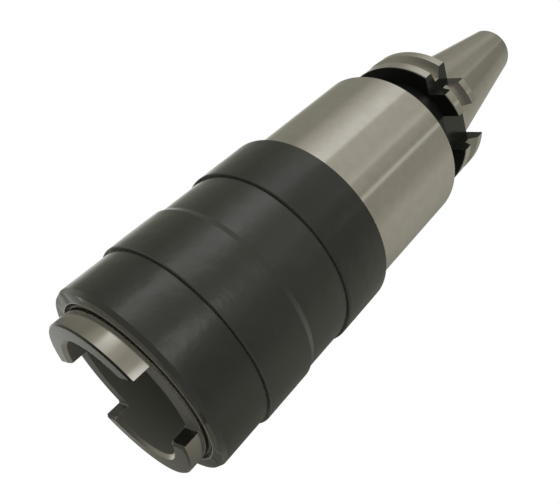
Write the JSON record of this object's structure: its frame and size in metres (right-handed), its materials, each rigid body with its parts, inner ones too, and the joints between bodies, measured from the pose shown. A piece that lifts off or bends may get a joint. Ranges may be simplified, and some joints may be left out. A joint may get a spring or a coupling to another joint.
{
  "type": "tapping chuck",
  "caption": "Floating quick-change tapping chuck with a steep-taper shank, a release sleeve and a bored spindle head with drive lugs.",
  "frame": {"origin": "centre of the taper's gauge plane, on the axis", "axes": "+Z along the axis towards the taper's small end, so the working end points down; the drive gap between the lugs runs along Y"},
  "size_m": [0.0782, 0.0782, 0.26],
  "materials": {
    "ground_steel": "ground",
    "black_steel": "black oxide, satin",
    "spring_steel": "drawn",
    "ball_steel": "polished",
    "cage_brass": "turned",
    "wiper_plastic": "matt"
  },
  "bodies": {
    "shank": {"shank_body": "ground_steel", "guide_bush": "cage_brass", "bush_clip": "spring_steel", "centre_bolt": "black_steel", "bolt_washer": "spring_steel", "push_spring": "spring_steel", "pull_spring": "spring_steel"},
    "cage": {"ball_cage": "cage_brass", "guide_balls": "ball_steel"},
    "spindle": {"spindle": "ground_steel", "spring_seat": "spring_steel", "chamber_cover": "black_steel", "cover_clip": "spring_steel", "stop_ring": "spring_steel", "sleeve_spring": "spring_steel"},
    "sleeve": {"tail_guard": "black_steel", "guard_wiper": "wiper_plastic", "release_sleeve": "black_steel", "nose_ring": "black_steel", "spring_washer": "spring_steel"},
    "lock_1": {"locking_ball_1": "ball_steel"},
    "lock_2": {"locking_ball_2": "ball_steel"},
    "lock_3": {"locking_ball_3": "ball_steel"}
  },
  "joints": [
    {"name": "float_slide", "type": "slide", "parent": "shank", "child": "spindle", "axis": [0, 0, 1], "range_m": [-0.02, 0.02], "stiffness_N_per_m": 15000, "deforming": ["push_spring", "pull_spring"]},
    {"name": "cage_slide", "type": "slide", "parent": "shank", "child": "cage", "axis": [0, 0, 1], "range_m": [-0.01, 0.01]},
    {"name": "release_slide", "type": "slide", "parent": "spindle", "child": "sleeve", "axis": [0, 0, 1], "range_m": [0, 0.007], "stiffness_N_per_m": 3000, "springref_m": -0.005, "deforming": ["sleeve_spring"]},
    {"name": "lock_slide_1", "type": "slide", "parent": "spindle", "child": "lock_1", "axis": [1, 0, 0], "range_m": [0, 0.0019]},
    {"name": "lock_slide_2", "type": "slide", "parent": "spindle", "child": "lock_2", "axis": [-0.5, 0.866, 0], "range_m": [0, 0.0019]},
    {"name": "lock_slide_3", "type": "slide", "parent": "spindle", "child": "lock_3", "axis": [-0.5, -0.866, 0], "range_m": [0, 0.0019]}
  ],
  "couplings": [
    {"joint": "cage_slide", "follows": "float_slide", "ratio": 0.5},
    {"joint": "lock_slide_1", "follows": "release_slide", "ratio": 0.271},
    {"joint": "lock_slide_2", "follows": "release_slide", "ratio": 0.271},
    {"joint": "lock_slide_3", "follows": "release_slide", "ratio": 0.271}
  ]
}
